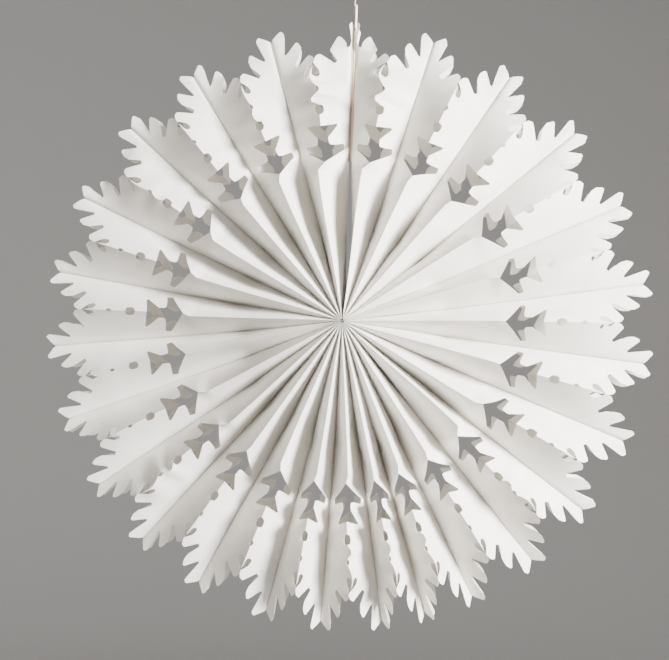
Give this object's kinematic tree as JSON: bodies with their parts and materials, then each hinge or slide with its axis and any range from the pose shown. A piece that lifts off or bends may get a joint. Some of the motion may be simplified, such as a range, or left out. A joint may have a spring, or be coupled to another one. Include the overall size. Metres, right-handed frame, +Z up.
{
  "type": "hanging paper rosette",
  "caption": "Round die-cut paper rosette: flat paper pockets glued side by side fan out from a folded bundle into a full disc that hangs from a thread.",
  "frame": {"origin": "inside top of the hanging loop, where a hook bears", "axes": "+Z up along the thread, -Y the way the disc's front faces, +X to the right of a viewer in front"},
  "size_m": [0.5821, 0.0856, 0.6444],
  "materials": {
    "paper": "matte uncoated white paper",
    "beige_card": "matte beige card, raw edge",
    "brown_card": "matte brown card, raw edge",
    "tape": "double-sided tape",
    "thread": "twisted cotton thread"
  },
  "bodies": {
    "hanger": {"hanger_card": "beige_card", "adhesive_tape": "tape", "spine_thread": "thread", "hanging_thread": "thread", "hanging_loop": "thread", "loop_knot": "thread"},
    "end_card": {"end_card": "brown_card"},
    "pocket_01": {"paper_pocket_01": "paper"},
    "pocket_02": {"paper_pocket_02": "paper"},
    "pocket_03": {"paper_pocket_03": "paper"},
    "pocket_04": {"paper_pocket_04": "paper"},
    "pocket_05": {"paper_pocket_05": "paper"},
    "pocket_06": {"paper_pocket_06": "paper"},
    "pocket_07": {"paper_pocket_07": "paper"},
    "pocket_08": {"paper_pocket_08": "paper"},
    "pocket_09": {"paper_pocket_09": "paper"},
    "pocket_10": {"paper_pocket_10": "paper"},
    "pocket_11": {"paper_pocket_11": "paper"},
    "pocket_12": {"paper_pocket_12": "paper"},
    "pocket_13": {"paper_pocket_13": "paper"},
    "pocket_14": {"paper_pocket_14": "paper"},
    "pocket_15": {"paper_pocket_15": "paper"},
    "pocket_16": {"paper_pocket_16": "paper"},
    "pocket_17": {"paper_pocket_17": "paper"},
    "pocket_18": {"paper_pocket_18": "paper"},
    "pocket_19": {"paper_pocket_19": "paper"},
    "pocket_20": {"paper_pocket_20": "paper"},
    "pocket_21": {"paper_pocket_21": "paper"},
    "pocket_22": {"paper_pocket_22": "paper"},
    "pocket_23": {"paper_pocket_23": "paper"},
    "pocket_24": {"paper_pocket_24": "paper"},
    "pocket_25": {"paper_pocket_25": "paper"}
  },
  "joints": [
    {"name": "fan_fold", "type": "hinge", "parent": "hanger", "child": "end_card", "pos_m": [0, 0, -0.352], "axis": [0, -1, 0], "range_deg": [0, 354]},
    {"name": "pocket_01_turn", "type": "hinge", "parent": "hanger", "child": "pocket_01", "pos_m": [0, 0, -0.352], "axis": [0, -1, 0], "range_deg": [0, 7.49], "deforming": ["paper_pocket_01"]},
    {"name": "pocket_02_turn", "type": "hinge", "parent": "hanger", "child": "pocket_02", "pos_m": [0, 0, -0.352], "axis": [0, -1, 0], "range_deg": [0, 23.28], "deforming": ["paper_pocket_02"]},
    {"name": "pocket_03_turn", "type": "hinge", "parent": "hanger", "child": "pocket_03", "pos_m": [0, 0, -0.352], "axis": [0, -1, 0], "range_deg": [0, 39.51], "deforming": ["paper_pocket_03"]},
    {"name": "pocket_04_turn", "type": "hinge", "parent": "hanger", "child": "pocket_04", "pos_m": [0, 0, -0.352], "axis": [0, -1, 0], "range_deg": [0, 55.89], "deforming": ["paper_pocket_04"]},
    {"name": "pocket_05_turn", "type": "hinge", "parent": "hanger", "child": "pocket_05", "pos_m": [0, 0, -0.352], "axis": [0, -1, 0], "range_deg": [0, 71.78], "deforming": ["paper_pocket_05"]},
    {"name": "pocket_06_turn", "type": "hinge", "parent": "hanger", "child": "pocket_06", "pos_m": [0, 0, -0.352], "axis": [0, -1, 0], "range_deg": [0, 86.96], "deforming": ["paper_pocket_06"]},
    {"name": "pocket_07_turn", "type": "hinge", "parent": "hanger", "child": "pocket_07", "pos_m": [0, 0, -0.352], "axis": [0, -1, 0], "range_deg": [0, 101.9], "deforming": ["paper_pocket_07"]},
    {"name": "pocket_08_turn", "type": "hinge", "parent": "hanger", "child": "pocket_08", "pos_m": [0, 0, -0.352], "axis": [0, -1, 0], "range_deg": [0, 116.83], "deforming": ["paper_pocket_08"]},
    {"name": "pocket_09_turn", "type": "hinge", "parent": "hanger", "child": "pocket_09", "pos_m": [0, 0, -0.352], "axis": [0, -1, 0], "range_deg": [0, 130.96], "deforming": ["paper_pocket_09"]},
    {"name": "pocket_10_turn", "type": "hinge", "parent": "hanger", "child": "pocket_10", "pos_m": [0, 0, -0.352], "axis": [0, -1, 0], "range_deg": [0, 144.1], "deforming": ["paper_pocket_10"]},
    {"name": "pocket_11_turn", "type": "hinge", "parent": "hanger", "child": "pocket_11", "pos_m": [0, 0, -0.352], "axis": [0, -1, 0], "range_deg": [0, 155.23], "deforming": ["paper_pocket_11"]},
    {"name": "pocket_12_turn", "type": "hinge", "parent": "hanger", "child": "pocket_12", "pos_m": [0, 0, -0.352], "axis": [0, -1, 0], "range_deg": [0, 163.97], "deforming": ["paper_pocket_12"]},
    {"name": "pocket_13_turn", "type": "hinge", "parent": "hanger", "child": "pocket_13", "pos_m": [0, 0, -0.352], "axis": [0, -1, 0], "range_deg": [0, 173.8], "deforming": ["paper_pocket_13"]},
    {"name": "pocket_14_turn", "type": "hinge", "parent": "hanger", "child": "pocket_14", "pos_m": [0, 0, -0.352], "axis": [0, -1, 0], "range_deg": [0, 184.78], "deforming": ["paper_pocket_14"]},
    {"name": "pocket_15_turn", "type": "hinge", "parent": "hanger", "child": "pocket_15", "pos_m": [0, 0, -0.352], "axis": [0, -1, 0], "range_deg": [0, 197.02], "deforming": ["paper_pocket_15"]},
    {"name": "pocket_16_turn", "type": "hinge", "parent": "hanger", "child": "pocket_16", "pos_m": [0, 0, -0.352], "axis": [0, -1, 0], "range_deg": [0, 210.8], "deforming": ["paper_pocket_16"]},
    {"name": "pocket_17_turn", "type": "hinge", "parent": "hanger", "child": "pocket_17", "pos_m": [0, 0, -0.352], "axis": [0, -1, 0], "range_deg": [0, 224.29], "deforming": ["paper_pocket_17"]},
    {"name": "pocket_18_turn", "type": "hinge", "parent": "hanger", "child": "pocket_18", "pos_m": [0, 0, -0.352], "axis": [0, -1, 0], "range_deg": [0, 237.92], "deforming": ["paper_pocket_18"]},
    {"name": "pocket_19_turn", "type": "hinge", "parent": "hanger", "child": "pocket_19", "pos_m": [0, 0, -0.352], "axis": [0, -1, 0], "range_deg": [0, 252.11], "deforming": ["paper_pocket_19"]},
    {"name": "pocket_20_turn", "type": "hinge", "parent": "hanger", "child": "pocket_20", "pos_m": [0, 0, -0.352], "axis": [0, -1, 0], "range_deg": [0, 266.54], "deforming": ["paper_pocket_20"]},
    {"name": "pocket_21_turn", "type": "hinge", "parent": "hanger", "child": "pocket_21", "pos_m": [0, 0, -0.352], "axis": [0, -1, 0], "range_deg": [0, 281.37], "deforming": ["paper_pocket_21"]},
    {"name": "pocket_22_turn", "type": "hinge", "parent": "hanger", "child": "pocket_22", "pos_m": [0, 0, -0.352], "axis": [0, -1, 0], "range_deg": [0, 297.2], "deforming": ["paper_pocket_22"]},
    {"name": "pocket_23_turn", "type": "hinge", "parent": "hanger", "child": "pocket_23", "pos_m": [0, 0, -0.352], "axis": [0, -1, 0], "range_deg": [0, 313.34], "deforming": ["paper_pocket_23"]},
    {"name": "pocket_24_turn", "type": "hinge", "parent": "hanger", "child": "pocket_24", "pos_m": [0, 0, -0.352], "axis": [0, -1, 0], "range_deg": [0, 329.57], "deforming": ["paper_pocket_24"]},
    {"name": "pocket_25_turn", "type": "hinge", "parent": "hanger", "child": "pocket_25", "pos_m": [0, 0, -0.352], "axis": [0, -1, 0], "range_deg": [0, 346.11], "deforming": ["paper_pocket_25"]}
  ],
  "couplings": [
    {"joint": "pocket_01_turn", "follows": "fan_fold", "ratio": 0.02102},
    {"joint": "pocket_02_turn", "follows": "fan_fold", "ratio": 0.06561},
    {"joint": "pocket_03_turn", "follows": "fan_fold", "ratio": 0.11147},
    {"joint": "pocket_04_turn", "follows": "fan_fold", "ratio": 0.15775},
    {"joint": "pocket_05_turn", "follows": "fan_fold", "ratio": 0.20262},
    {"joint": "pocket_06_turn", "follows": "fan_fold", "ratio": 0.24551},
    {"joint": "pocket_07_turn", "follows": "fan_fold", "ratio": 0.2877},
    {"joint": "pocket_08_turn", "follows": "fan_fold", "ratio": 0.32989},
    {"joint": "pocket_09_turn", "follows": "fan_fold", "ratio": 0.36981},
    {"joint": "pocket_10_turn", "follows": "fan_fold", "ratio": 0.40692},
    {"joint": "pocket_11_turn", "follows": "fan_fold", "ratio": 0.43837},
    {"joint": "pocket_12_turn", "follows": "fan_fold", "ratio": 0.46304},
    {"joint": "pocket_13_turn", "follows": "fan_fold", "ratio": 0.49082},
    {"joint": "pocket_14_turn", "follows": "fan_fold", "ratio": 0.52185},
    {"joint": "pocket_15_turn", "follows": "fan_fold", "ratio": 0.55641},
    {"joint": "pocket_16_turn", "follows": "fan_fold", "ratio": 0.59534},
    {"joint": "pocket_17_turn", "follows": "fan_fold", "ratio": 0.63344},
    {"joint": "pocket_18_turn", "follows": "fan_fold", "ratio": 0.67195},
    {"joint": "pocket_19_turn", "follows": "fan_fold", "ratio": 0.71202},
    {"joint": "pocket_20_turn", "follows": "fan_fold", "ratio": 0.75279},
    {"joint": "pocket_21_turn", "follows": "fan_fold", "ratio": 0.79469},
    {"joint": "pocket_22_turn", "follows": "fan_fold", "ratio": 0.83942},
    {"joint": "pocket_23_turn", "follows": "fan_fold", "ratio": 0.885},
    {"joint": "pocket_24_turn", "follows": "fan_fold", "ratio": 0.93086},
    {"joint": "pocket_25_turn", "follows": "fan_fold", "ratio": 0.97756}
  ]
}
